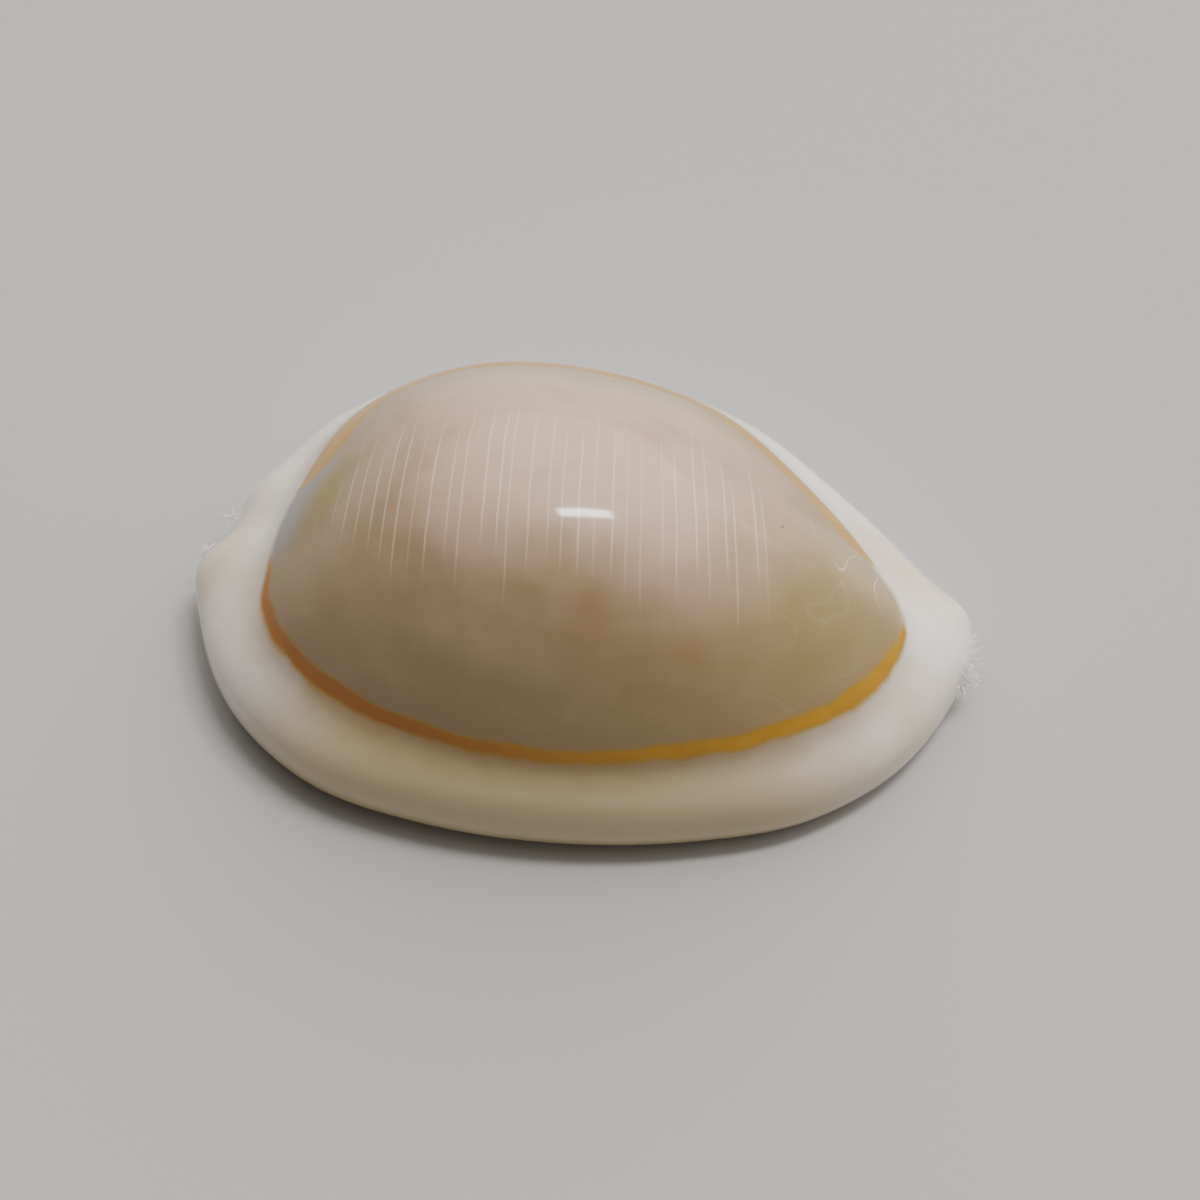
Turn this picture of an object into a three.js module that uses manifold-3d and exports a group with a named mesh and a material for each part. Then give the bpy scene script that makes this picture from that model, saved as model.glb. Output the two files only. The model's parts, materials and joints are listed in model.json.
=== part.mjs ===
// Ring cowrie shell: one thick, hollow shell with a domed back, a rolled marginal callus and a
// flat base slit from end to end by a toothed aperture.
//
// Millimetres, +Z up. The shell stands on its base at Z = 0, centred on the origin.
// +X is the anterior (narrower) end, -X the posterior (spire) end.
// +Y is the columellar side, -Y the side of the outer lip.

import * as THREE from 'three';
import { LoftGeometry } from 'three/addons/geometries/LoftGeometry.js';
import { mergeVertices } from 'three/addons/utils/BufferGeometryUtils.js';
import Module from 'manifold-3d';

// ---------------------------------------------------------------- driving dimensions

const HEIGHT = 11.9; // base to crown
const CROWN = new THREE.Vector2( - 1.2, - 0.3 ); // highest point, in plan
const FULLNESS = { anterior: 2, posterior: 2.1, columellar: 1.85, outerLip: 2.5 }; // power of the arch

const GIRDLE_HEIGHT = 4.5; // mean level of the line where dome meets callus
const GIRDLE_TILT = { anterior: - 0.3, posterior: 0.3, columellar: 1.1, outerLip: 0.3 };
const HALF_LENGTH = 10; // of the girdle line, where its tilt along X is full
const HALF_WIDTH = 7; // of the girdle line, where its tilt across Y is full

const LIP_THICKNESS = 2; // base wall, from the ground up to the chamber's floor
const BACK_WALL = 1; // dome wall at the crown
const CHAMBER_SHARE = 0.88; // chamber plan as a share of the girdle line
const FLAT_SHARE = 0.72; // flat of the base as a share of the girdle line

const APERTURE_HALF_WIDTH = 0.95; // between the lips, half, at the posterior end
const APERTURE_FLARE = 0.2; // added to the half-width towards the anterior end
const TOOTH_PITCH = 1.6;
const TOOTH_DEPTH = { outerLip: 0.5, columellar: 0.4 };

const AROUND = 96; // points round each outer section
const CHAMBER_AROUND = 48;
const MARGIN_STEPS = 7; // sections on each of the callus's two curves
const DOME_STEPS = 12;
const TOOTH_STEPS = 4; // points along one tooth and its gap
const CROWN_REST = 0.985; // the last section, just short of the crown

// Plan of the callus at its widest and of the girdle line, at sixteen matching points,
// anticlockwise from the anterior end.
const MARGIN_PLAN = closedCurve( [
	[ 12.75, 1.1 ], [ 11, 3.1 ], [ 7.9, 5.8 ], [ 4.6, 7.9 ],
	[ 0, 8.9 ], [ - 5, 8.5 ], [ - 9.2, 6.6 ], [ - 11.6, 3.5 ],
	[ - 12.9, 0.3 ], [ - 11.7, - 3.4 ], [ - 8.6, - 6.1 ], [ - 4.4, - 7.2 ],
	[ 0, - 7.4 ], [ 4.2, - 6.9 ], [ 8.1, - 5.7 ], [ 11.3, - 3 ],
] );
const GIRDLE_PLAN = closedCurve( [
	[ 10.4, 0.1 ], [ 8.9, 2.4 ], [ 6.8, 4.5 ], [ 4, 6.5 ],
	[ 0, 7.6 ], [ - 4.5, 7.4 ], [ - 8, 5.5 ], [ - 9.7, 2.7 ],
	[ - 10.3, - 0.1 ], [ - 9.6, - 2.7 ], [ - 7.2, - 4.8 ], [ - 3.8, - 6 ],
	[ 0, - 6.3 ], [ 3.7, - 5.8 ], [ 6.9, - 4.6 ], [ 9.4, - 2.5 ],
] );

// Small swellings (+) and dips (-) of the callus round the two canal mouths, by turn.
const LOBES = [
	{ turn: 0.437, width: 0.014, swell: 0.34 },
	{ turn: 0.464, width: 0.018, swell: - 0.34 },
	{ turn: 0.491, width: 0.017, swell: 0.36 },
	{ turn: 0.985, width: 0.02, swell: 0.1 },
	{ turn: 0.022, width: 0.02, swell: 0.25 },
];

// Aperture's middle line, from the anterior canal to the posterior one.
const APERTURE_LINE = new THREE.CatmullRomCurve3( [
	new THREE.Vector3( 11, 0.1, 0 ),
	new THREE.Vector3( 6, - 0.6, 0 ),
	new THREE.Vector3( 0, - 0.8, 0 ),
	new THREE.Vector3( - 5.5, - 0.2, 0 ),
	new THREE.Vector3( - 10.6, 2.1, 0 ),
] );

// Round gutters out of both ends of the aperture, each from inside the chamber to the open.
const CANALS = [
	{ radius: 1.2, inside: new THREE.Vector3( 7, - 0.4, 1.7 ), mouth: new THREE.Vector3( 14, 0.5, 0 ) },
	{ radius: 1, inside: new THREE.Vector3( - 6.5, 0.5, 1.8 ), mouth: new THREE.Vector3( - 13.6, 3.3, 0 ) },
];

// Section of the callus. X is the reach from the girdle line (0) to the widest edge (1), and
// Y is the share of the girdle line's height.
const MARGIN_TOP = new THREE.CubicBezierCurve(
	new THREE.Vector2( 0, 1 ),
	new THREE.Vector2( 0.16, 0.76 ),
	new THREE.Vector2( 1, 0.75 ),
	new THREE.Vector2( 1, 0.35 ),
);
const MARGIN_UNDERSIDE = new THREE.CubicBezierCurve(
	new THREE.Vector2( 1, 0.35 ),
	new THREE.Vector2( 1, 0.1 ),
	new THREE.Vector2( 0.8, 0.04 ),
	new THREE.Vector2( 0.3, 0.025 ),
);

// ---------------------------------------------------------------- plan and height

function closedCurve( points ) {

	return new THREE.CatmullRomCurve3( points.map( ( [ x, y ] ) => new THREE.Vector3( x, y, 0 ) ), true );

}

function flat( vector ) {

	return new THREE.Vector2( vector.x, vector.y );

}

// The callus's widest edge in plan, with its lobes.
function marginAt( turn ) {

	const point = flat( MARGIN_PLAN.getPoint( turn ) );
	const outwards = point.clone().normalize();

	for ( const { turn: middle, width, swell } of LOBES ) {

		const away = ( turn - middle ) / width;
		point.addScaledVector( outwards, swell * Math.exp( - away * away ) );

	}

	return point;

}

function girdleAt( turn ) {

	return flat( GIRDLE_PLAN.getPoint( turn ) );

}

// Height of the girdle line over a plan point: it is tilted a little towards each side.
function girdleHeight( { x, y } ) {

	const alongX = x > 0 ? GIRDLE_TILT.anterior : GIRDLE_TILT.posterior;
	const acrossY = y > 0 ? GIRDLE_TILT.columellar : GIRDLE_TILT.outerLip;

	return GIRDLE_HEIGHT + alongX * ( x / HALF_LENGTH ) ** 2 + acrossY * ( y / HALF_WIDTH ) ** 2;

}

// Power of the dome's arch in one direction from the crown.
function fullness( spoke ) {

	const alongX = spoke.x > 0 ? FULLNESS.anterior : FULLNESS.posterior;
	const acrossY = spoke.y > 0 ? FULLNESS.columellar : FULLNESS.outerLip;
	const share = spoke.x ** 2 / ( spoke.x ** 2 + ( 1.5 * spoke.y ) ** 2 );

	return alongX * share + acrossY * ( 1 - share );

}

// ---------------------------------------------------------------- sections

function section( count, pointAt ) {

	return Array.from( { length: count }, ( _, i ) => pointAt( i / count ) );

}

// The girdle line scaled in plan and laid flat.
function scaledGirdle( count, share, height ) {

	return section( count, ( turn ) => {

		const point = girdleAt( turn ).multiplyScalar( share );

		return new THREE.Vector3( point.x, point.y, height );

	} );

}

// One section of the callus, at a point of its profile.
function marginSection( { x: reach, y: level } ) {

	return section( AROUND, ( turn ) => {

		const inner = girdleAt( turn );
		const point = inner.clone().lerp( marginAt( turn ), reach );

		return new THREE.Vector3( point.x, point.y, girdleHeight( inner ) * level );

	} );

}

// One section of a dome over an outline, at a share of the way from its edge to its top.
function domeSection( count, outlineAt, edgeHeight, top, share ) {

	return section( count, ( turn ) => {

		const edge = outlineAt( turn );
		const spoke = edge.clone().sub( CROWN );
		const spread = Math.cos( Math.PI / 2 * share );
		const rise = 1 - spread ** fullness( spoke );
		const point = CROWN.clone().addScaledVector( spoke, spread );

		return new THREE.Vector3( point.x, point.y, THREE.MathUtils.lerp( edgeHeight( edge ), top, rise ) );

	} );

}

function domeSections( steps, ...dome ) {

	return Array.from( { length: steps }, ( _, i ) => domeSection( ...dome, CROWN_REST * ( i + 1 ) / steps ) );

}

// The whole outside, from the edge of the flat base up over the callus to the crown.
function outsideGeometry() {

	const underside = MARGIN_UNDERSIDE.getPoints( MARGIN_STEPS ).reverse();
	const top = MARGIN_TOP.getPoints( MARGIN_STEPS ).reverse().slice( 1 );
	const sections = [
		scaledGirdle( AROUND, FLAT_SHARE, 0 ),
		...[ ...underside, ...top ].map( marginSection ),
		...domeSections( DOME_STEPS, AROUND, girdleAt, girdleHeight, HEIGHT ),
	];

	return new LoftGeometry( sections, { capStart: true, capEnd: true } );

}

// The room inside, with a flat floor and a rounded foot.
function chamberGeometry() {

	const outlineAt = ( turn ) => girdleAt( turn ).multiplyScalar( CHAMBER_SHARE );
	const sections = [
		scaledGirdle( CHAMBER_AROUND, CHAMBER_SHARE * 0.8, LIP_THICKNESS ),
		scaledGirdle( CHAMBER_AROUND, CHAMBER_SHARE * 0.95, LIP_THICKNESS + 0.7 ),
		...domeSections( 7, CHAMBER_AROUND, outlineAt, () => GIRDLE_HEIGHT, HEIGHT - BACK_WALL ),
	];

	return new LoftGeometry( sections, { capStart: true, capEnd: true } );

}

// ---------------------------------------------------------------- aperture

// One toothed side of the aperture, as plan points along its middle line.
function toothedSide( side, depth ) {

	const teeth = Math.round( APERTURE_LINE.getLength() / TOOTH_PITCH );
	const count = teeth * TOOTH_STEPS;

	return Array.from( { length: count + 1 }, ( _, i ) => {

		const along = i / count;
		const middle = flat( APERTURE_LINE.getPointAt( along ) );
		const heading = flat( APERTURE_LINE.getTangentAt( along ) );
		const across = new THREE.Vector2( - heading.y, heading.x ).multiplyScalar( side );
		const fade = Math.sqrt( Math.max( 0, Math.sin( Math.PI * along ) ) );
		const tooth = depth * fade * Math.max( 0, - Math.cos( 2 * Math.PI * i / TOOTH_STEPS ) );
		const flare = APERTURE_FLARE * ( 1 - along ) ** 2;

		return middle.addScaledVector( across, APERTURE_HALF_WIDTH + flare - tooth );

	} );

}

function apertureGeometry() {

	const outline = new THREE.Shape( [
		...toothedSide( 1, TOOTH_DEPTH.outerLip ),
		...toothedSide( - 1, TOOTH_DEPTH.columellar ).reverse(),
	] );
	const below = 1;

	return new THREE.ExtrudeGeometry( outline, { depth: below + LIP_THICKNESS + 0.5, bevelEnabled: false } )
		.translate( 0, 0, - below );

}

function canalGeometry( { radius, inside, mouth } ) {

	const heading = mouth.clone().sub( inside );
	const middle = inside.clone().lerp( mouth, 0.5 );
	const upright = new THREE.Vector3( 0, 1, 0 );
	const turned = new THREE.Quaternion().setFromUnitVectors( upright, heading.clone().normalize() );

	return new THREE.CapsuleGeometry( radius, heading.length(), 4, 16 )
		.applyQuaternion( turned )
		.translate( middle.x, middle.y, middle.z );

}

// ---------------------------------------------------------------- solids

const wasm = await Module();
wasm.setup();

function solid( geometry ) {

	const bare = new THREE.BufferGeometry().copy( geometry );
	bare.deleteAttribute( 'normal' );
	bare.deleteAttribute( 'uv' );
	const merged = mergeVertices( bare );

	return new wasm.Manifold( new wasm.Mesh( {
		numProp: 3,
		vertProperties: merged.attributes.position.array,
		triVerts: new Uint32Array( merged.index.array ),
	} ) );

}

function geometryOf( manifold ) {

	const { vertProperties, triVerts } = manifold.getMesh();
	const geometry = new THREE.BufferGeometry();
	geometry.setAttribute( 'position', new THREE.BufferAttribute( vertProperties, 3 ) );
	geometry.setIndex( new THREE.BufferAttribute( triVerts, 1 ) );
	geometry.computeVertexNormals();

	return geometry;

}

// Stands a geometry on Z = 0 with its box centred on the origin.
function centred( geometry ) {

	geometry.computeBoundingBox();
	const { min, max } = geometry.boundingBox;

	return geometry.translate( - ( min.x + max.x ) / 2, - ( min.y + max.y ) / 2, - min.z );

}

const cuts = [ chamberGeometry(), apertureGeometry(), ...CANALS.map( canalGeometry ) ];
const shellSolid = cuts.map( solid ).reduce(
	( body, cut ) => body.subtract( cut ),
	solid( outsideGeometry() ),
);

const shell = new THREE.Mesh(
	centred( geometryOf( shellSolid ) ),
	new THREE.MeshStandardMaterial( { color: 0xcdb999, roughness: 0.22, metalness: 0 } ),
);
shell.name = 'shell';

const cowrie = new THREE.Group();
cowrie.add( shell );

export default cowrie;
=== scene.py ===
import json
import math
import random
from functools import partial
from types import SimpleNamespace

import bpy
from mathutils import Matrix, Vector

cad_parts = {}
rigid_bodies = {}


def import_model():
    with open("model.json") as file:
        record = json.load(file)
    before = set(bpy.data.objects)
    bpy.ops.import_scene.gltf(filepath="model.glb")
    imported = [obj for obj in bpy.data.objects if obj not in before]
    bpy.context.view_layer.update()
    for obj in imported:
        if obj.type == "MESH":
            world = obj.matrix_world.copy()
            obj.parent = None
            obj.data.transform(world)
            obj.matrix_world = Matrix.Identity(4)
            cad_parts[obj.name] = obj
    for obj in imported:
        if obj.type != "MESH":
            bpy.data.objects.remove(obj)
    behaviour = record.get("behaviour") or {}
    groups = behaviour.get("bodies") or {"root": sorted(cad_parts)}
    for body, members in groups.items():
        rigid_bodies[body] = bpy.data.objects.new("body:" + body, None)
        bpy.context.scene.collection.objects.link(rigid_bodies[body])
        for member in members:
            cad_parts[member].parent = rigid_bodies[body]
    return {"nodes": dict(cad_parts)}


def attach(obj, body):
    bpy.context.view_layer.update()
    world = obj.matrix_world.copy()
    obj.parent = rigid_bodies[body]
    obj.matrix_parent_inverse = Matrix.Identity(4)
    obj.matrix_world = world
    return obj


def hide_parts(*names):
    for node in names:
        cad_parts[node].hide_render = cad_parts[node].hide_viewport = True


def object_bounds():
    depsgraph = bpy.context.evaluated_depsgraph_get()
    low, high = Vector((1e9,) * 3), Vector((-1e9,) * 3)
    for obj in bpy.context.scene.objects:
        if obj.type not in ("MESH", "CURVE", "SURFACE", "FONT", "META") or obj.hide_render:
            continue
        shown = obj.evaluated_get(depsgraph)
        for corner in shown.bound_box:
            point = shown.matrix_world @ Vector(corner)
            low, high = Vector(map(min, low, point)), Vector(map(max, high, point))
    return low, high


bl_info = {
    "name": "Ring cowrie shell",
    "version": (1, 0, 0),
    "blender": (4, 5, 0),
    "location": "3D View > Sidebar > Cowrie",
    "description": "Builds a ring cowrie shell with wisps of fibre at its ends, on a pale floor",
    "category": "Object",
}

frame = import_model()
CAD_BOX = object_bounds()
CAD_SHELL = frame["nodes"]["shell"]
MM = 0.001


# ---------------------------------------------------------------- settings

def linear(hex_colour):
    """An sRGB hex colour as a linear RGBA tuple."""
    channels = [int(hex_colour[i:i + 2], 16) / 255 for i in (0, 2, 4)]
    return tuple(c / 12.92 if c <= 0.04045 else ((c + 0.055) / 1.055) ** 2.4 for c in channels) + (1,)


def colour(name, description, hex_colour):
    return bpy.props.FloatVectorProperty(
        name=name, description=description, default=linear(hex_colour), size=4, min=0, max=1, subtype="COLOR")


class ShellSettings(bpy.types.PropertyGroup):
    """Sizes and colours of the shell"""
    tooth_pitch: bpy.props.FloatProperty(
        name="Tooth pitch", description="Distance from one tooth to the next",
        default=1.62 * MM, min=0.5 * MM, unit="LENGTH")
    tooth_height: bpy.props.FloatProperty(
        name="Tooth height", description="Depth of the groove between two teeth",
        default=0.34 * MM, min=0, unit="LENGTH")
    back: colour("Back", "Middle of the back", "C6A48C")
    # Also painted shade: this darker colour is laid low on the outer lip's side and just above the ring,
    # where shade falls; it also darkens the posterior end and the mottle.
    back_shade_and_tone: colour("Back, low", "Back above the ring on the outer lip's side", "957D58")
    # Also a painted sheen: this pale colour is laid over the high band on the columellar side, as a soft
    # reflection would pale it; it also pales the mottle and the patch in the anterior gap.
    back_pale_and_sheen: colour("Back, high", "Pale band on the columellar side", "C6AC88")
    back_front: colour("Back, front", "Anterior third of the back", "9E8660")
    hairline: colour("Hairlines", "Fine pale lines across the back", "F2E4CE")
    ring_gold: colour("Ring, golden", "Ring where it is brightest", "BC8A00")
    ring_burnt: colour("Ring, burnt", "Ring where it is deepest", "A46200")
    ring_fringe: colour("Ring, fringe", "Olive edge of the ring", "A08418")
    callus: colour("Callus", "Rolled rim, base and teeth", "EFE5DD")
    # Partly the outer lip's own cream tone, partly painted shade: the rim on that side is darkened as if it
    # faced away from the light; it also tints the rim's clouds.
    callus_lip_tone_and_shade: colour("Callus, outer lip", "Rolled rim of the outer lip", "CDB78F")
    # Painted shade: the darker rim just outside the ring, in the groove where the dome meets the callus.
    callus_groove_shade: colour("Callus stain", "Rim just outside the ring", "8E6C3C")
    speck: colour("Speck", "The dark speck on the back", "5A4634")
    inside: colour("Inside", "Clouds inside the chamber", "B9AEB6")
    gap_blue: colour("Gap, blue-grey", "Patch where the ring is open at the posterior end", "8E8985")
    gap_olive: colour("Gap, olive", "Streak above the open part of the ring", "8C7838")


class FibreSettings(bpy.types.PropertyGroup):
    """Sizes and colour of the wisps of fibre at the two ends"""
    thickness: bpy.props.FloatProperty(
        name="Fibre thickness", description="Thickness of one fibre",
        default=0.03 * MM, min=0.002 * MM, unit="LENGTH")
    seed: bpy.props.IntProperty(name="Seed", description="Picks how the fibres lie", default=7)
    fibre: colour("Fibre", "Colour of the fibres", "FAFAF8")


class StageSettings(bpy.types.PropertyGroup):
    """The floor, camera and light"""
    floor: colour("Floor", "Colour of the floor", "B2B0AD")
    elevation: bpy.props.FloatProperty(
        name="Camera elevation", description="Height of the camera above the horizon",
        default=math.radians(62), subtype="ANGLE")
    azimuth: bpy.props.FloatProperty(
        name="Camera azimuth", description="Turn of the camera round the shell, from its outer lip",
        default=math.radians(6), subtype="ANGLE")
    distance: bpy.props.FloatProperty(
        name="Camera distance", description="From the camera to the shell", default=110 * MM, unit="LENGTH")
    lens: bpy.props.FloatProperty(
        name="Lens", description="Focal length of the camera", default=101.6, unit="CAMERA")


# ---------------------------------------------------------------- helpers

def deselect():
    if bpy.context.object and bpy.context.object.mode != "OBJECT":
        bpy.ops.object.mode_set(mode="OBJECT")
    bpy.ops.object.select_all(action="DESELECT")


def make_active(obj, *others):
    deselect()
    for one in (obj, *others):
        one.select_set(True)
    bpy.context.view_layer.objects.active = obj


def pick(obj, kind, test):
    """Selects an object's visible vertices or faces ("VERT" or "FACE") by a test, in edit mode."""
    bpy.ops.object.mode_set(mode="EDIT")
    bpy.ops.mesh.select_mode(type="VERT")
    bpy.ops.mesh.select_all(action="DESELECT")
    bpy.ops.mesh.select_mode(type=kind)
    bpy.ops.object.mode_set(mode="OBJECT")
    parts = obj.data.vertices if kind == "VERT" else obj.data.polygons
    parts.foreach_set("select", [not part.hide and test(part) for part in parts])
    bpy.ops.object.mode_set(mode="EDIT")


def pick_rim(obj, test):
    """Selects the edges of the open rim whose vertices pass a test."""
    bpy.ops.object.mode_set(mode="EDIT")
    bpy.ops.mesh.select_mode(type="EDGE")
    bpy.ops.mesh.select_all(action="DESELECT")
    bpy.ops.mesh.select_non_manifold(
        extend=False, use_wire=False, use_multi_face=False, use_non_contiguous=False, use_verts=False)
    bpy.ops.object.mode_set(mode="OBJECT")
    rim = {v.index for v in obj.data.vertices if v.select and test(v)}
    pick(obj, "VERT", lambda v: v.index in rim)
    bpy.ops.mesh.select_mode(type="EDGE")


def selected_box(obj):
    """Lowest and highest corner of the selected vertices."""
    obj.update_from_editmode()
    points = [v.co for v in obj.data.vertices if v.select]
    return [Vector(f(p[i] for p in points) for i in range(3)) for f in (min, max)]


def apply_modifier(obj, kind, **settings):
    modifier = obj.modifiers.new(kind.title(), kind)
    for key, value in settings.items():
        setattr(modifier, key, value)
    bpy.ops.object.modifier_apply(modifier=modifier.name)


def add_node(tree, kind, inputs=None, **settings):
    """Adds a node with its settings. Each input, by name or number, is set to a value or linked to a
    socket, or to a node's first output."""
    node = tree.nodes.new("ShaderNode" + kind)
    for key, value in settings.items():
        setattr(node, key, value)
    for key, value in (inputs or {}).items():
        if isinstance(value, bpy.types.Node):
            value = value.outputs[0]
        if isinstance(value, bpy.types.NodeSocket):
            tree.links.new(value, node.inputs[key])
        else:
            node.inputs[key].default_value = value
    return node


# ---------------------------------------------------------------- shell

PLAN_SHIFT = Vector((0.083 * MM, -0.85 * MM, 0))  # from the girdle line's own centre to the frame's
HALF_LENGTH, HALF_WIDTH = CAD_BOX[1][0], CAD_BOX[1][1]
CROWN_HEIGHT = CAD_BOX[1][2]
CROWN = PLAN_SHIFT + Vector((-1.2 * MM, -0.3 * MM, 0))
GIRDLE_HEIGHT = 4.5  # mm, mean level of the line where dome meets callus
GIRDLE_TILT = {"anterior": -0.3, "posterior": 0.3, "columellar": 1.1, "outer_lip": 0.3}  # mm
GIRDLE_REACH = (10, 7)  # mm from the middle at which the tilts along X and Y are full
FULLNESS = {"anterior": 2.0, "posterior": 2.1, "columellar": 1.85, "outer_lip": 2.5}  # power of the arch
PATCH_SPREAD = 0.515  # share of the dome's spread that the crown's patch covers

# Rows down the underside, each from the row above: share of its length, width and height.
UNDERSIDE_ROWS = (
    (1.006, 1.012, 0.74), (1.0, 1.0, 0.68), (0.994, 0.99, 0.6), (0.986, 0.975, 0.5), (0.98, 0.962, 0.4),
)
# Rows of the base and the lips: half-length and half-width as shares of the frame's, height in mm.
BASE_ROWS = (
    (0.928, 0.86, 0.05), (0.905, 0.74, 0.0), (0.888, 0.6, 0.0), (0.874, 0.46, 0.0), (0.863, 0.345, 0.02),
    (0.856, 0.27, 0.09), (0.85, 0.215, 0.2), (0.845, 0.175, 0.38), (0.842, 0.15, 0.65),
)
SLIT_TURN = math.radians(-5.3)  # of the aperture in plan, against the shell's long axis
SLIT_SIDE = 0.4 * MM  # how far the aperture's ends lie to the columellar side
SLIT_BOW = 1.95 * MM  # how far its middle bows to the outer lip
SLIT_TOP = 2.1 * MM  # level of the chamber's floor

# Rows of the chamber, from its floor up: half-length, half-width and height in mm.
CHAMBER_ROWS = (
    (8.3, 5.3, 2.15), (8.6, 5.6, 3.2), (8.0, 5.1, 5.0), (6.7, 4.1, 7.0), (4.8, 2.7, 8.9), (3.2, 1.8, 9.7),
)
CHAMBER_CENTRE = Vector((-0.6 * MM, -0.75 * MM, 0))  # in plan
CHAMBER_MIDDLE = 4 * MM  # a height well inside the chamber
INNER_FLOOR = 1.9 * MM  # above this, faces that look inwards are the chamber's
# Canals in plan (mm): where each gutter runs from and to, half its width, and the reach of its soft edge.
CANALS = (
    {"from": (9.8, -0.75), "to": (13.3, -0.3), "half_width": 0.45, "reach": 1.0},
    {"from": (-9.6, 0.9), "to": (-13.2, 2.1), "half_width": 0.35, "reach": 0.8},
)


GROOVES = 13  # between the teeth, on each lip
GROOVE_HALF_WIDTH = 0.16 * MM
GROOVE_SPAN = (0.2 * MM, 2.0 * MM)  # from the aperture's middle, where a groove begins and ends
GROOVE_LEAN = 0.12  # how far a groove leans along X for its length across
GROOVE_PUSH = 0.6  # how far a groove is also pushed away from the aperture, as a share of its depth
GROOVE_EASE = 0.52 * MM  # reach of the soft edge of a groove


def girdle_height(point):
    """Height of the line where the dome meets the callus, over a point."""
    x, y = (point - PLAN_SHIFT).xy / MM
    along = GIRDLE_TILT["anterior" if x > 0 else "posterior"] * (x / GIRDLE_REACH[0]) ** 2
    across = GIRDLE_TILT["columellar" if y > 0 else "outer_lip"] * (y / GIRDLE_REACH[1]) ** 2
    return MM * (GIRDLE_HEIGHT + along + across)


def dome_spread(point):
    """0.1 near the crown to 1 at the girdle line, for a point of the dome: the arch it rises by, undone."""
    spoke = point.xy - CROWN.xy
    along = FULLNESS["anterior" if spoke.x > 0 else "posterior"]
    across = FULLNESS["columellar" if spoke.y > 0 else "outer_lip"]
    share = spoke.x ** 2 / (spoke.x ** 2 + (1.5 * spoke.y) ** 2)
    power = along * share + across * (1 - share)
    spread = 0.7
    for _ in range(4):
        foot = CROWN + (spoke / spread).to_3d()
        drop = max(0, CROWN_HEIGHT - point.z) / (CROWN_HEIGHT - girdle_height(foot))
        spread = min(1.2, max(0.1, drop ** (1 / power)))
    return spread


def copy_of(obj, name):
    copy = obj.copy()
    copy.data = obj.data.copy()
    copy.parent = None
    copy.name = name
    copy.data.name = name
    for key in [k for k in copy.keys() if k.startswith("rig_")]:
        del copy[key]
    bpy.context.scene.collection.objects.link(copy)
    make_active(copy)
    return copy


def outer_skin():
    """The outside above the callus's widest line, as quads, from a merged copy of the CAD shell."""
    skin = copy_of(CAD_SHELL, "cowrie_shell")
    bpy.ops.object.mode_set(mode="EDIT")
    bpy.ops.mesh.select_all(action="SELECT")
    bpy.ops.mesh.remove_doubles(threshold=0.002 * MM)
    pick(skin, "FACE", lambda f: f.center.z < 0.49 * girdle_height(f.center))
    bpy.ops.mesh.delete(type="FACE")
    # the chamber is loose once the slit is gone, and goes too
    pick(skin, "FACE", lambda f: f.center.z > CROWN_HEIGHT - 0.05 * MM)
    bpy.ops.mesh.select_linked()
    bpy.ops.mesh.select_all(action="INVERT")
    bpy.ops.mesh.delete(type="VERT")
    bpy.ops.mesh.select_all(action="SELECT")
    bpy.ops.mesh.tris_convert_to_quads(face_threshold=math.radians(60), shape_threshold=math.radians(80))
    bpy.ops.object.mode_set(mode="OBJECT")
    apply_modifier(skin, "SUBSURF", levels=1, render_levels=1)
    return skin


def patch_crown(skin):
    """Even faces over the crown, where the rows would meet in one point, laid on the old form."""
    form = copy_of(skin, "crown_form")
    apply_modifier(form, "SUBSURF", levels=2, render_levels=2)
    make_active(skin)
    pick(skin, "FACE", lambda f: dome_spread(f.center) < PATCH_SPREAD)
    bpy.ops.mesh.delete(type="FACE")
    pick_rim(skin, lambda v: v.co.z > 7 * MM)
    bpy.ops.mesh.fill_grid(span=48, use_interp_simple=False)
    bpy.ops.object.mode_set(mode="OBJECT")
    dome = skin.vertex_groups.new(name="dome")
    dome.add([v.index for v in skin.data.vertices if v.select or dome_spread(v.co) < 0.9], 1, "REPLACE")
    apply_modifier(skin, "SHRINKWRAP", target=form, vertex_group="dome")
    apply_modifier(skin, "SMOOTH", factor=0.5, iterations=45, vertex_group="dome")
    skin.vertex_groups.remove(skin.vertex_groups["dome"])
    bpy.data.objects.remove(form)


def extrude_row(size, centre, level=None, turn=0.0):
    """One more row from the selected rim: scaled about a centre, then laid flat at a level."""
    bpy.ops.mesh.extrude_edges_move()
    bpy.ops.transform.resize(value=size, center_override=centre)
    if turn:
        bpy.ops.transform.rotate(value=turn, orient_axis="Z", center_override=centre)
    if level is not None:
        bpy.ops.transform.resize(value=(1, 1, 0), center_override=(0, 0, level))


def grow_base(shell):
    """The underside of the callus, the flat base and the two lips, as rows from the widest line."""
    pick_rim(shell, lambda v: v.co.z < 4 * MM)
    for length, width, height in UNDERSIDE_ROWS:
        extrude_row((length, width, height), (0, 0, 0))
    turn = SLIT_TURN / len(BASE_ROWS)
    for length, width, height in BASE_ROWS:
        low, high = selected_box(shell)
        size = ((2 * length * HALF_LENGTH) / (high.x - low.x), (2 * width * HALF_WIDTH) / (high.y - low.y), 1)
        middle = (low + high) / 2
        extrude_row(size, middle, height * MM, turn)
        bpy.ops.transform.translate(value=(-middle.x / 3, (SLIT_SIDE - middle.y) / 3, 0))


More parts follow.
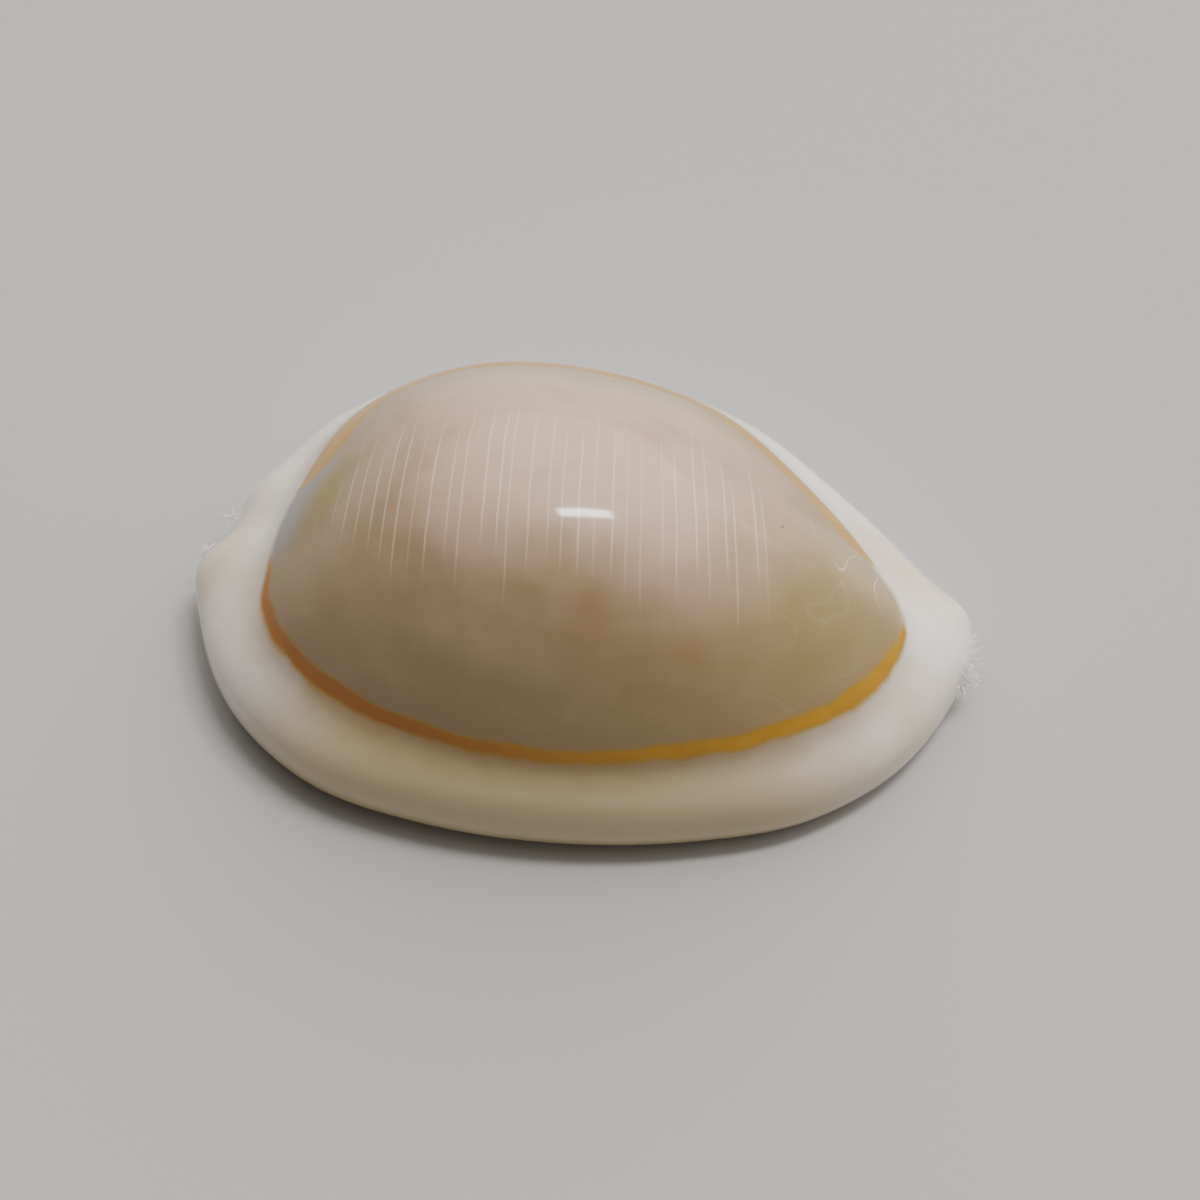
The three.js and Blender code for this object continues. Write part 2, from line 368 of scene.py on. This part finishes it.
def bow_slit(shell):
    """Bends the aperture's middle to the outer lip's side, with the outer rows held."""
    pick(shell, "FACE", lambda f: (
        f.center.z > 0.7 * MM or f.center.z > 0.07 * MM and abs(f.center.y) > 2.6 * MM))
    bpy.ops.mesh.hide(unselected=False)
    pick(shell, "VERT", lambda v: abs(v.co.x) < 1.2 * MM and abs(v.co.y) < 2.4 * MM)
    bpy.ops.transform.translate(
        value=(0, -SLIT_BOW, 0), use_proportional_edit=True,
        proportional_edit_falloff="SMOOTH", proportional_size=9 * MM)
    bpy.ops.mesh.reveal(select=False)


def press_canals(shell):
    """Presses a gutter up into the base at each end of the aperture."""
    for canal in CANALS:
        start, end = Vector(canal["from"]) * MM, Vector(canal["to"]) * MM
        way = (end - start).normalized()

        def inside(v):
            gap = v.co.xy - start
            along = gap.dot(way)
            return 0 < along < (end - start).length and abs(gap.cross(way)) < canal["half_width"] * MM \
                and v.co.z < 2 * MM

        pick(shell, "VERT", inside)
        bpy.ops.transform.resize(
            value=(1, 1, 0.5), center_override=(end.x, end.y, SLIT_TOP), use_proportional_edit=True,
            proportional_edit_falloff="SMOOTH", proportional_size=canal["reach"] * MM)


def grow_slit(shell):
    """The walls between the lips, up to the chamber's floor."""
    pick_rim(shell, lambda v: v.co.z < 2 * MM)
    for size, level in (((1, 0.97, 0.5), None), ((1, 1.0, 0.5), None), ((0.99, 1.05, 1), SLIT_TOP)):
        bpy.ops.mesh.extrude_edges_move()
        low, high = selected_box(shell)
        middle = (low + high) / 2
        bpy.ops.transform.resize(value=size, center_override=(middle.x, middle.y, SLIT_TOP))
        if level:
            bpy.ops.transform.resize(value=(1, 1, 0), center_override=(0, 0, level))


def add_chamber(shell, columns=192):
    """The room inside, joined to the slit by its floor."""
    centre = CHAMBER_CENTRE
    length, width, height = CHAMBER_ROWS[0]
    deselect()
    bpy.ops.mesh.primitive_circle_add(
        vertices=columns, radius=MM, fill_type="NOTHING", location=centre + Vector((0, 0, height * MM)))
    room = bpy.context.object
    bpy.ops.object.transform_apply(location=True, rotation=True, scale=True)
    bpy.ops.object.mode_set(mode="EDIT")
    bpy.ops.mesh.select_mode(type="EDGE")
    bpy.ops.mesh.select_all(action="SELECT")
    bpy.ops.transform.resize(value=(length, width, 1), center_override=centre)
    for (l0, w0, z0), (l1, w1, z1) in zip(CHAMBER_ROWS, CHAMBER_ROWS[1:]):
        extrude_row((l1 / l0, w1 / w0, 1), centre, z1 * MM)
    bpy.ops.mesh.fill_grid(span=columns // 4)
    pick(room, "VERT", lambda v: (v.co.xy - centre.xy).length < 0.6 * MM and v.co.z > 9.6 * MM)
    bpy.ops.transform.translate(
        value=(0, 0, 0.6 * MM), use_proportional_edit=True,
        proportional_edit_falloff="SMOOTH", proportional_size=3 * MM)
    make_active(shell, room)
    bpy.ops.object.join()
    pick_rim(shell, lambda v: True)
    bpy.ops.mesh.bridge_edge_loops()
    bpy.ops.mesh.select_all(action="SELECT")
    bpy.ops.mesh.normals_make_consistent(inside=False)
    bpy.ops.object.mode_set(mode="OBJECT")


def slit_middle(x):
    """Y of the aperture's middle at an X, both in metres."""
    along = x / (0.84 * HALF_LENGTH)
    return SLIT_SIDE + math.tan(SLIT_TURN) * x - SLIT_BOW * max(0, 1 - along * along) ** 1.3


def press_teeth(shell, settings):
    """Presses a groove up into the lip between every two teeth, so that rounded ridges stay."""
    pick(shell, "FACE", lambda f: f.center.z > 1.6 * MM or abs(f.center.x) > 10.6 * MM)
    bpy.ops.mesh.hide(unselected=False)
    for side in (-1, 1):
        for k in range(GROOVES):
            x = (k - (GROOVES - 1) / 2) * settings.tooth_pitch - 0.1 * MM
            middle = slit_middle(x)

            def in_groove(v, x=x, middle=middle, side=side):
                across = side * (v.co.y - middle)
                lean = GROOVE_LEAN * side * across
                within = GROOVE_SPAN[0] < across < GROOVE_SPAN[1]
                return within and abs(v.co.x - x - lean) < GROOVE_HALF_WIDTH

            pick(shell, "VERT", in_groove)
            lift = (0, side * GROOVE_PUSH * settings.tooth_height, settings.tooth_height)
            bpy.ops.transform.translate(
                value=lift, use_proportional_edit=True,
                proportional_edit_falloff="SMOOTH", proportional_size=GROOVE_EASE)
    bpy.ops.mesh.reveal(select=False)
    bpy.ops.object.mode_set(mode="OBJECT")


# ---------------------------------------------------------------- finishes

SOFT = {"interpolation_type": "SMOOTHSTEP"}
PLAN_RATIO = 1.45  # length to width of the oval that turns round the shell are counted on
RING_WANDER = 0.44  # mm that the ring's edges wander up and down
CLOUD_REACH = 6  # mm that clouds push the edges of the back's zones about
HAIRLINES_PER_MM = 2.05
HAIRLINE_PIVOT = -4.0  # mm along X, the line that the others fan out from
ANTERIOR_GAP, POSTERIOR_GAP = 0.512, 0.99  # turns at the middle of the ring's two gaps
SPECK_PLACE = (6.31, 0.08, 0)  # mm, in plan

# Courses round the shell, as points of (turn, value): height of the ring's middle in units of 10 mm,
# half the ring's width in mm, and how strongly painted shade darkens the rim beside it.
RING_LEVEL = (
    (0, 0.5), (0.023, 0.5), (0.053, 0.47), (0.1, 0.48), (0.19, 0.49), (0.27, 0.49), (0.31, 0.5),
    (0.354, 0.486), (0.398, 0.455), (0.44, 0.425), (0.473, 0.42), (0.5, 0.43), (0.53, 0.46),
    (0.55, 0.49), (0.575, 0.505), (0.61, 0.535), (0.666, 0.59), (0.7, 0.63), (0.74, 0.68), (0.8, 0.69),
    (0.84, 0.65), (0.883, 0.59), (0.927, 0.59), (0.956, 0.57), (0.97, 0.52), (1, 0.5),
)
RING_HALF_WIDTH = (
    (0, 0), (0.012, 0.04), (0.03, 0.16), (0.06, 0.27), (0.1, 0.36), (0.14, 0.38), (0.19, 0.33),
    (0.23, 0.28), (0.3, 0.29), (0.36, 0.31), (0.41, 0.33), (0.44, 0.31), (0.465, 0.22), (0.48, 0.13),
    (0.49, 0.04), (0.5, 0), (0.515, 0), (0.53, 0.3), (0.55, 0.56), (0.575, 0.56), (0.62, 0.46),
    (0.7, 0.34), (0.8, 0.3), (0.86, 0.4), (0.9, 0.56), (0.93, 0.62), (0.95, 0.48), (0.965, 0.15),
    (0.972, 0), (1, 0),
)
# How strongly the painted groove shade shows beside the ring, round the shell.
GROOVE_SHADE_STRENGTH = (
    (0, 0.05), (0.05, 0.35), (0.12, 0.85), (0.25, 0.9), (0.38, 0.7), (0.46, 0.2), (0.5, 0),
    (0.56, 0.05), (0.64, 0.45), (0.75, 0.7), (0.88, 0.75), (0.94, 0.4), (1, 0.05),
)


def new_material(name):
    """An empty material, and the function that adds nodes to it."""
    material = bpy.data.materials.new(name)
    material.use_nodes = True
    material.node_tree.nodes.clear()
    return material, partial(add_node, material.node_tree)


def paint(node, ground, *layers):
    """Lays colours over a ground in turn. Each layer is a mask, a colour and the most that shows of it."""
    for mask, tint, share in layers:
        amount = node("Math", {0: mask, 1: share}, operation="MULTIPLY")
        ground = node("Mix", {0: amount, 6: ground, 7: tint}, data_type="RGBA").outputs[2]
    return ground


def round_shell(node, turn, course, scale):
    """A value that follows a smooth course round the shell, through points of (turn, value)."""
    value = node("FloatCurve", {"Value": turn})
    curve = value.mapping.curves[0]
    for point in course[1:-1]:
        curve.points.new(*point)
    curve.points[0].location = course[0]
    curve.points[len(course) - 1].location = course[-1]
    value.mapping.update()
    return node("Math", {0: value, 1: scale}, operation="MULTIPLY")


def lay_out(node):
    """What the pattern follows: places in millimetres, the turn round the shell (0 posterior, 0.25 outer
    lip, 0.5 anterior), the height above the ring's middle line, and clouds of two sizes."""
    place = node("TexCoord").outputs["Object"]
    mm = node("VectorMath", {0: place, 3: 1 / MM}, operation="SCALE")
    x, y, z = node("SeparateXYZ", {0: mm}).outputs
    wide = node("Math", {0: y, 1: PLAN_RATIO}, operation="MULTIPLY")
    angle = node("Math", {0: wide, 1: x}, operation="ARCTAN2")
    turn = node("Math", {0: angle, 1: 1 / (2 * math.pi), 2: 0.5}, operation="MULTIPLY_ADD")
    # noise scales are per millimetre: wander about 1.2 mm long, clouds 4.5 mm and mottle 1.4 mm across
    wander = node("TexNoise", {"Vector": mm, "Scale": 0.8, "Detail": 3, "Roughness": 0.5})
    height = node("Math", {0: wander, 1: RING_WANDER, 2: z}, operation="MULTIPLY_ADD")
    above = node("Math", {0: height, 1: round_shell(node, turn, RING_LEVEL, 10)}, operation="SUBTRACT")
    above = node("Math", {0: above, 1: RING_WANDER / 2}, operation="SUBTRACT")
    cloud = node("TexNoise", {"Vector": mm, "Scale": 0.22, "Detail": 3, "Roughness": 0.55})
    mottle = node("TexNoise", {"Vector": mm, "Scale": 0.7, "Detail": 5, "Roughness": 0.6})
    push = node("Math", {0: cloud, 1: CLOUD_REACH, 2: -CLOUD_REACH / 2}, operation="MULTIPLY_ADD")
    cloudy_x = node("Math", {0: x, 1: push}, operation="ADD")
    cloudy_y = node("Math", {0: y, 1: push}, operation="ADD")
    front = node("MapRange", {"Value": cloudy_x, "From Min": 3.5, "From Max": 7.5}, **SOFT)
    return SimpleNamespace(mm=mm, x=x, y=y, turn=turn, above=above, cloud=cloud, mottle=mottle,
                           cloudy_x=cloudy_x, cloudy_y=cloudy_y, front=front)


def back_zones(node, at, settings):
    """The back's soft zones: painted shade darkens it low down on the outer lip's side and near the ring, and
    a painted sheen pales its high band on the columellar side; it is also darker at the posterior end, and
    mottled.
    """
    # painted sheen: the high band on the columellar side is paled
    high = node("MapRange", {"Value": at.cloudy_y, "From Min": 2.2, "From Max": 5.0}, **SOFT)
    # painted shade: darker low down on the outer lip's side
    low = node("MapRange", {"Value": at.cloudy_y, "From Min": -1.4, "From Max": -6.4}, **SOFT)
    rear = node("MapRange", {"Value": at.cloudy_x, "From Min": -3.2, "From Max": -8.2}, **SOFT)
    # painted shade: darker just above the ring
    near_ring_shade = node("MapRange", {"Value": at.above, "From Min": 2.2, "From Max": 0.2}, **SOFT)
    dark = node("MapRange", {"Value": at.mottle, "From Min": 0.5, "From Max": 0.75})
    pale = node("MapRange", {"Value": at.mottle, "From Min": 0.5, "From Max": 0.28})
    return paint(
        node, settings.back, (high, settings.back_pale_and_sheen, 1), (at.front, settings.back_front, 1),
        (low, settings.back_shade_and_tone, 1), (rear, settings.back_shade_and_tone, 0.75), (near_ring_shade, settings.back_shade_and_tone, 0.5),
        (dark, settings.back_shade_and_tone, 0.28), (pale, settings.back_pale_and_sheen, 0.12))


def hairlines(node, at):
    """Mask of the fine pale lines across the back, about 0.5 mm apart. They fan out towards the outer
    lip, and each starts, stops and shows by chance."""
    fan = node("Math", {0: at.y, 1: -0.016, 2: 1.0}, operation="MULTIPLY_ADD")
    across = node("Math", {0: at.x, 1: -HAIRLINE_PIVOT}, operation="ADD")
    across = node("Math", {0: across, 1: fan}, operation="DIVIDE")
    drift = node("TexNoise", {"Vector": at.mm, "Scale": 0.4, "Detail": 1})
    across = node("Math", {0: drift, 1: 0.14, 2: across}, operation="MULTIPLY_ADD")
    cells = node("TexVoronoi", {"W": across, "Scale": HAIRLINES_PER_MM, "Randomness": 0.5},
                 voronoi_dimensions="1D", feature="F1")
    chances = node("SeparateColor", {0: cells.outputs["Color"]}).outputs
    bulge = node("Math", {0: at.x, 1: at.x}, operation="MULTIPLY")
    start = node("Math", {0: bulge, 1: 0.032, 2: -4.7}, operation="MULTIPLY_ADD")
    start = node("Math", {0: chances[0], 1: 1.4, 2: start}, operation="MULTIPLY_ADD")
    stop = node("Math", {0: chances[1], 1: 2.2, 2: 1.2}, operation="MULTIPLY_ADD")
    from_start = node("Math", {0: at.y, 1: start}, operation="SUBTRACT")
    to_stop = node("Math", {0: stop, 1: at.y}, operation="SUBTRACT")
    mask = node("MapRange", {"Value": cells.outputs["Distance"], "From Min": 0.08, "From Max": 0.03})
    for fade in (
            {"Value": from_start, "From Min": 0, "From Max": 1.0},
            {"Value": to_stop, "From Min": 0, "From Max": 1.6},
            {"Value": at.x, "From Min": -8.6, "From Max": -7.8},
            {"Value": at.x, "From Min": 6.4, "From Max": 5.4},
            {"Value": chances[2], "To Min": 0.18, "To Max": 0.42}):
        mask = node("Math", {0: mask, 1: node("MapRange", fade)}, operation="MULTIPLY")
    return mask


def anterior_marks(node, at):
    """Masks of the faint contour lines on the anterior third, and of the paler patch in the gap there."""
    hills = node("TexNoise", {"Vector": at.mm, "Scale": 0.16, "Detail": 2, "Roughness": 0.4})
    bands = node("Math", {0: hills, 1: 9}, operation="MULTIPLY")
    bands = node("Math", {0: bands}, operation="FRACT")
    lines = node("Math", {0: bands, 1: 0.5, 2: 0.018}, operation="COMPARE")
    from_gap = node("Math", {0: at.turn, 1: ANTERIOR_GAP}, operation="SUBTRACT")
    from_gap = node("Math", {0: from_gap}, operation="ABSOLUTE")
    patch = node("MapRange", {"Value": from_gap, "From Min": 0.04, "From Max": 0.02})
    near = node("MapRange", {"Value": at.above, "From Min": 3.0, "From Max": 2.0})
    patch = node("Math", {0: patch, 1: near}, operation="MULTIPLY")
    shown = node("Math", {0: patch, 1: 0.42, 2: 0.04}, operation="MULTIPLY_ADD")
    lines = node("Math", {0: lines, 1: at.front}, operation="MULTIPLY")
    lines = node("Math", {0: lines, 1: shown}, operation="MULTIPLY")
    return lines, patch


def posterior_patches(node, at, settings):
    """Layers for the ring's posterior gap: an olive streak, and a blue-grey patch under it."""
    from_gap = node("Math", {0: at.turn, 1: 0.5}, operation="ADD")
    from_gap = node("Math", {0: from_gap}, operation="FRACT")
    from_gap = node("Math", {0: from_gap, 1: POSTERIOR_GAP - 0.5}, operation="SUBTRACT")
    from_gap = node("Math", {0: from_gap}, operation="ABSOLUTE")
    opening = node("MapRange", {"Value": from_gap, "From Min": 0.055, "From Max": 0.015}, **SOFT)
    layers = []
    for tint, lowest, highest in ((settings.gap_olive, 0.6, 3.4), (settings.gap_blue, -0.3, 1.9)):
        rise = node("MapRange", {"Value": at.above, "From Min": lowest, "From Max": lowest + 0.5}, **SOFT)
        fall = node("MapRange", {"Value": at.above, "From Min": highest, "From Max": highest - 1.1}, **SOFT)
        patch = node("Math", {0: rise, 1: fall}, operation="MULTIPLY")
        patch = node("Math", {0: patch, 1: opening}, operation="MULTIPLY")
        layers.append((patch, tint, 0.8))
    return layers


def speck_mask(node, at):
    """One tiny dark speck on the anterior part of the back."""
    place = node("CombineXYZ", {0: at.x, 1: at.y})
    distance = node("VectorMath", {0: place, 1: SPECK_PLACE}, operation="DISTANCE").outputs["Value"]
    return node("MapRange", {"Value": distance, "From Min": 0.085, "From Max": 0.04})


def callus_tint(node, at, beyond, settings):
    """The rolled rim: warmer and darker at the outer lip, partly its own cream tone and partly painted shade,
    clouded, and darkened just outside the ring by painted shade for the groove there.
    """
    # partly the rim's own cream tone, partly painted shade: darker and warmer on the outer lip's side
    lip_side_tone_and_shade = node("MapRange", {"Value": at.y, "From Min": -3.5, "From Max": -7.5}, **SOFT)
    clouds = node("MapRange", {"Value": at.cloud, "From Min": 0.42, "From Max": 0.7})
    strength = round_shell(node, at.turn, GROOVE_SHADE_STRENGTH, 1)
    # painted shade in the groove just outside the ring
    groove_shade = node("MapRange", {"Value": beyond, "From Min": 1.35, "From Max": -0.1}, **SOFT)
    groove_shade = node("Math", {0: groove_shade, 1: strength}, operation="MULTIPLY")
    return paint(node, settings.callus, (lip_side_tone_and_shade, settings.callus_lip_tone_and_shade, 1),
                 (clouds, settings.callus_lip_tone_and_shade, 0.6), (groove_shade, settings.callus_groove_shade, 0.8))


def ring_tint(node, at, beyond, settings):
    """The ring: more golden to the anterior end and on the columellar side, grained, olive at its edges."""
    golden = node("MapRange", {"Value": at.x, "From Min": -6, "From Max": 6}, **SOFT)
    far_side = node("MapRange", {"Value": at.y, "From Min": -3, "From Max": 2}, **SOFT)
    golden = node("Math", {0: golden, 1: far_side}, operation="MAXIMUM")
    grain = node("MapRange", {"Value": at.mottle, "From Min": 0.3, "From Max": 0.6, "To Min": 0.6})
    golden = node("Math", {0: golden, 1: grain}, operation="MULTIPLY")
    fringe = node("MapRange", {"Value": beyond, "From Min": -0.2, "From Max": 0.06}, **SOFT)
    return paint(node, settings.ring_burnt, (golden, settings.ring_gold, 1),
                 (fringe, settings.ring_fringe, 0.75))


def glazed_shell(settings):
    """Mollusc shell, crossed-lamellar aragonite that the animal's mantle has glazed: like porcelain,
    a hard mirror-like gloss over slightly translucent, softly mottled colour."""
    material, node = new_material("glazed_aragonite")
    at = lay_out(node)

    half_width = round_shell(node, at.turn, RING_HALF_WIDTH, 1)
    off = node("Math", {0: at.above}, operation="ABSOLUTE")
    beyond = node("Math", {0: off, 1: half_width}, operation="SUBTRACT")  # mm outside the ring's edge
    has_ring = node("MapRange", {"Value": half_width, "From Min": 0.02, "From Max": 0.15})
    ring = node("MapRange", {"Value": beyond, "From Min": 0.16, "From Max": -0.12}, **SOFT)
    ring = node("Math", {0: ring, 1: has_ring}, operation="MULTIPLY")
    on_back = node("MapRange", {"Value": at.above, "From Min": -0.25, "From Max": 0.3}, **SOFT)

    contours, pale_patch = anterior_marks(node, at)
    back = paint(
        node, back_zones(node, at, settings), (hairlines(node, at), settings.hairline, 1),
        (contours, settings.hairline, 1), (pale_patch, settings.back_pale_and_sheen, 0.3),
        *posterior_patches(node, at, settings), (speck_mask(node, at), settings.speck, 0.7))
    surface = paint(node, callus_tint(node, at, beyond, settings), (on_back, back, 1),
                    (ring, ring_tint(node, at, beyond, settings), 1))

    ripple = node("TexNoise", {"Vector": at.mm, "Scale": 0.45, "Detail": 2, "Roughness": 0.4})
    bump = node("Bump", {"Height": ripple, "Strength": 0.05, "Distance": 0.1 * MM})
    shader = node("BsdfPrincipled", {
        "Base Color": surface, "Roughness": 0.1, "IOR": 1.45, "Normal": bump, "Specular IOR Level": 0.38,
        "Coat Weight": 0.12, "Coat Roughness": 0.28, "Coat IOR": 1.5, "Subsurface Weight": 0.08,
        "Subsurface Scale": 0.3 * MM, "Subsurface Radius": (1.0, 0.7, 0.5)})
    node("OutputMaterial", {"Surface": shader})
    return material


def inner_shell(settings):
    """Mollusc shell inside, unglazed aragonite: smooth but duller than the outside, white clouded
    with a little lavender."""
    material, node = new_material("inner_aragonite")
    place = node("TexCoord").outputs["Object"]
    # the scale is per metre: clouds about 3 mm across
    cloud = node("TexNoise", {"Vector": place, "Scale": 300, "Detail": 3})
    tint = paint(node, settings.callus, (cloud, settings.inside, 1))
    shader = node("BsdfPrincipled", {"Base Color": tint, "Roughness": 0.35, "IOR": 1.53})
    node("OutputMaterial", {"Surface": shader})
    return material


def paint_inside(shell):
    """Gives the chamber's faces, and the slit's walls above the lips, the inner material."""
    def is_inner(face):
        from_middle = face.center - CHAMBER_CENTRE - Vector((0, 0, CHAMBER_MIDDLE))
        return face.normal.dot(from_middle) < 0 and face.center.z > INNER_FLOOR

    pick(shell, "FACE", is_inner)
    shell.active_material_index = 1
    bpy.ops.object.material_slot_assign()
    bpy.ops.object.mode_set(mode="OBJECT")


class COWRIE_OT_shell(bpy.types.Operator):
    """Makes the shell: dome, rolled callus, flat base, toothed aperture and chamber"""
    bl_idname = "cowrie.shell"
    bl_label = "Shell"

    def execute(self, context):
        settings = context.scene.cowrie_shell
        shell = outer_skin()
        patch_crown(shell)
        grow_base(shell)
        bow_slit(shell)
        press_canals(shell)
        grow_slit(shell)
        add_chamber(shell)
        apply_modifier(shell, "SUBSURF", levels=1, render_levels=1)
        press_teeth(shell, settings)
        bpy.ops.object.shade_smooth()
        shell.data.materials.clear()
        shell.data.materials.append(glazed_shell(settings))
        shell.data.materials.append(inner_shell(settings))
        paint_inside(shell)
        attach(shell, "root")
        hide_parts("shell")
        return {"FINISHED"}


# ---------------------------------------------------------------- stage

def area_light(name, way, distance, size, power, along=(1, 0, 0)):
    """A rectangular soft light on the shell, from a direction, with its long side along a vector."""
    back = Vector(way).normalized()
    side = (Vector(along) - back * back.dot(Vector(along))).normalized()
    deselect()
    bpy.ops.object.light_add(type="AREA")
    light = bpy.context.object
    light.name = name
    light.data.shape = "RECTANGLE"
    light.data.size, light.data.size_y = size
    light.data.energy = power
    light.matrix_world = Matrix.Translation(back * distance + Vector((0, 0, 6 * MM))) @ Matrix(
        (side, back.cross(side), back)).transposed().to_4x4()


def soft_sky(way):
    """A dim even surround that brightens softly towards one direction, like a wide paper screen."""
    world = bpy.data.worlds.new("studio")
    world.use_nodes = True
    tree = world.node_tree
    tree.nodes.clear()
    ray = add_node(tree, "TexCoord").outputs["Generated"]
    facing = add_node(tree, "VectorMath", {0: ray, 1: way}, operation="DOT_PRODUCT").outputs["Value"]
    glow = add_node(tree, "MapRange", {
        "Value": facing, "From Min": 0.3, "From Max": 1.0, "To Min": 0.14, "To Max": 2.75},
        interpolation_type="SMOOTHSTEP").outputs[0]
    light = add_node(tree, "Background", {"Color": linear("F6F3EF"), "Strength": glow}).outputs[0]
    add_node(tree, "OutputWorld", {"Surface": light})
    return world


CAMERA_TARGET = Vector((0.112 * MM, -0.779 * MM, 4 * MM))
CAMERA_SHIFT = (0.014, -0.0025)
SENSOR = 36  # mm
SOFTBOX_WAY = (0.235, 0.165, 0.96)  # from the shell to the light
SOFTBOX_ALONG = (1, 0.36, -0.1)  # its long side
SOFTBOX_DISTANCE = 0.3  # m
SOFTBOX_SIZE = (0.116, 0.034)  # m
SOFTBOX_POWER = 0.62  # W
SKY_WAY = Vector((0.3, 0.72, 0.62)).normalized()  # towards the bright part of the surround


class COWRIE_OT_stage(bpy.types.Operator):
    """Makes the floor, the camera and the light"""
    bl_idname = "cowrie.stage"
    bl_label = "Floor, camera and light"

    def execute(self, context):
        settings = context.scene.cowrie_stage
        deselect()
        bpy.ops.mesh.primitive_plane_add(size=3)
        floor = bpy.context.object
        floor.name = "floor"
        material = bpy.data.materials.new("matt_card")
        material.use_nodes = True
        shader = material.node_tree.nodes["Principled BSDF"]
        shader.inputs["Base Color"].default_value = tuple(settings.floor)
        shader.inputs["Roughness"].default_value = 0.85
        floor.data.materials.append(material)

        azimuth, elevation = settings.azimuth, settings.elevation
        back = Vector((math.sin(azimuth) * math.cos(elevation), -math.cos(azimuth) * math.cos(elevation),
                       math.sin(elevation)))
        bpy.ops.object.camera_add(location=CAMERA_TARGET + back * settings.distance)
        camera = bpy.context.object
        camera.rotation_euler = back.to_track_quat("Z", "Y").to_euler()
        camera.data.lens = settings.lens
        camera.data.sensor_width = SENSOR
        camera.data.shift_x, camera.data.shift_y = CAMERA_SHIFT
        camera.data.clip_start, camera.data.clip_end = 1 * MM, 20
        context.scene.camera = camera

        area_light("softbox", SOFTBOX_WAY, SOFTBOX_DISTANCE, SOFTBOX_SIZE, SOFTBOX_POWER, SOFTBOX_ALONG)
        context.scene.world = soft_sky(SKY_WAY)
        return {"FINISHED"}


# ---------------------------------------------------------------- fibres

WISPS = (
    {"name": "fibre_wisp_anterior", "root": (12.62, -0.62, 1.5), "spread": (0.1, 0.8, 0.45),
     "way": (1.0, -0.3, 0.2), "length": 0.7, "count": 200},
    {"name": "fibre_wisp_notch", "root": (-11.95, 2.05, 1.7), "spread": (0.1, 0.18, 0.25),
     "way": (-0.7, 0.7, 0.1), "length": 0.5, "count": 18},
    {"name": "fibre_wisp_posterior", "root": (-12.7, 0.9, 1.7), "spread": (0.08, 0.15, 0.2),
     "way": (-1.0, 0.3, 0.0), "length": 0.35, "count": 9},
)


class COWRIE_OT_fibres(bpy.types.Operator):
    """Makes the wisps of whitish fibre at the shell's two ends"""
    bl_idname = "cowrie.fibres"
    bl_label = "Wisps of fibre"

    def execute(self, context):
        settings = context.scene.cowrie_fibres
        dice = random.Random(settings.seed)
        material = lint(settings)
        for wisp in WISPS:
            strands = [strand(wisp, settings.thickness, dice) for _ in range(wisp["count"])]
            make_active(*strands)
            bpy.ops.object.join()
            piece = bpy.context.object
            piece.name = wisp["name"]
            bpy.ops.object.convert(target="MESH")
            piece = bpy.context.object
            piece.data.materials.clear()
            piece.data.materials.append(material)
            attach(piece, "root")
        return {"FINISHED"}


def strand(wisp, thickness, dice):
    """One curled fibre, as a thin path."""
    bpy.ops.curve.primitive_nurbs_path_add(radius=MM)
    path = bpy.context.object
    path.data.bevel_depth = thickness / 2 * dice.uniform(0.7, 1.2)
    path.data.bevel_resolution = 1
    path.data.resolution_u = 5
    path.data.use_fill_caps = True
    place = Vector(wisp["root"]) + Vector(dice.uniform(-s, s) for s in wisp["spread"])
    way = (Vector(wisp["way"]) + Vector(dice.gauss(0, 0.6) for _ in range(3))).normalized()
    points = path.data.splines[0].points
    step = wisp["length"] * dice.uniform(0.5, 1.2) / (len(points) - 1)
    for point in points:
        point.co = (*(place * MM), 1)
        way = (way + Vector(dice.gauss(0, 0.55) for _ in range(3))).normalized()
        place = place + way * step
    path.location = (0, 0, 0)
    return path


def lint(settings):
    """Cotton or byssus lint, loose spun fibres: thin, matt and whitish, they let light through."""
    material, node = new_material("loose_lint")
    place = node("TexCoord").outputs["Object"]
    # the scale is per metre: tints about 0.3 mm long
    cloud = node("TexNoise", {"Vector": place, "Scale": 3000, "Detail": 2})
    tint = paint(node, settings.fibre, (cloud, linear("E6E6E2"), 1))
    shader = node("BsdfPrincipled", {
        "Base Color": tint, "Roughness": 0.8, "Sheen Weight": 0.5, "Specular IOR Level": 0.2})
    node("OutputMaterial", {"Surface": shader})
    return material


# ---------------------------------------------------------------- add-on

OPERATORS = (COWRIE_OT_stage, COWRIE_OT_shell, COWRIE_OT_fibres)


class COWRIE_PT_panel(bpy.types.Panel):
    """Lists the steps that make the cowrie"""
    bl_label = "Cowrie"
    bl_idname = "COWRIE_PT_panel"
    bl_space_type = "VIEW_3D"
    bl_region_type = "UI"
    bl_category = "Cowrie"

    def draw(self, context):
        for operator in OPERATORS:
            self.layout.operator(operator.bl_idname)


CLASSES = (ShellSettings, FibreSettings, StageSettings, *OPERATORS, COWRIE_PT_panel)


def register():
    for one in CLASSES:
        bpy.utils.register_class(one)
    bpy.types.Scene.cowrie_shell = bpy.props.PointerProperty(type=ShellSettings)
    bpy.types.Scene.cowrie_fibres = bpy.props.PointerProperty(type=FibreSettings)
    bpy.types.Scene.cowrie_stage = bpy.props.PointerProperty(type=StageSettings)


def unregister():
    del bpy.types.Scene.cowrie_stage
    del bpy.types.Scene.cowrie_fibres
    del bpy.types.Scene.cowrie_shell
    for one in reversed(CLASSES):
        bpy.utils.unregister_class(one)


def main():
    register()
    bpy.ops.cowrie.stage()
    bpy.ops.cowrie.shell()
    bpy.ops.cowrie.fibres()
    deselect()


if __name__ == "__main__":
    main()
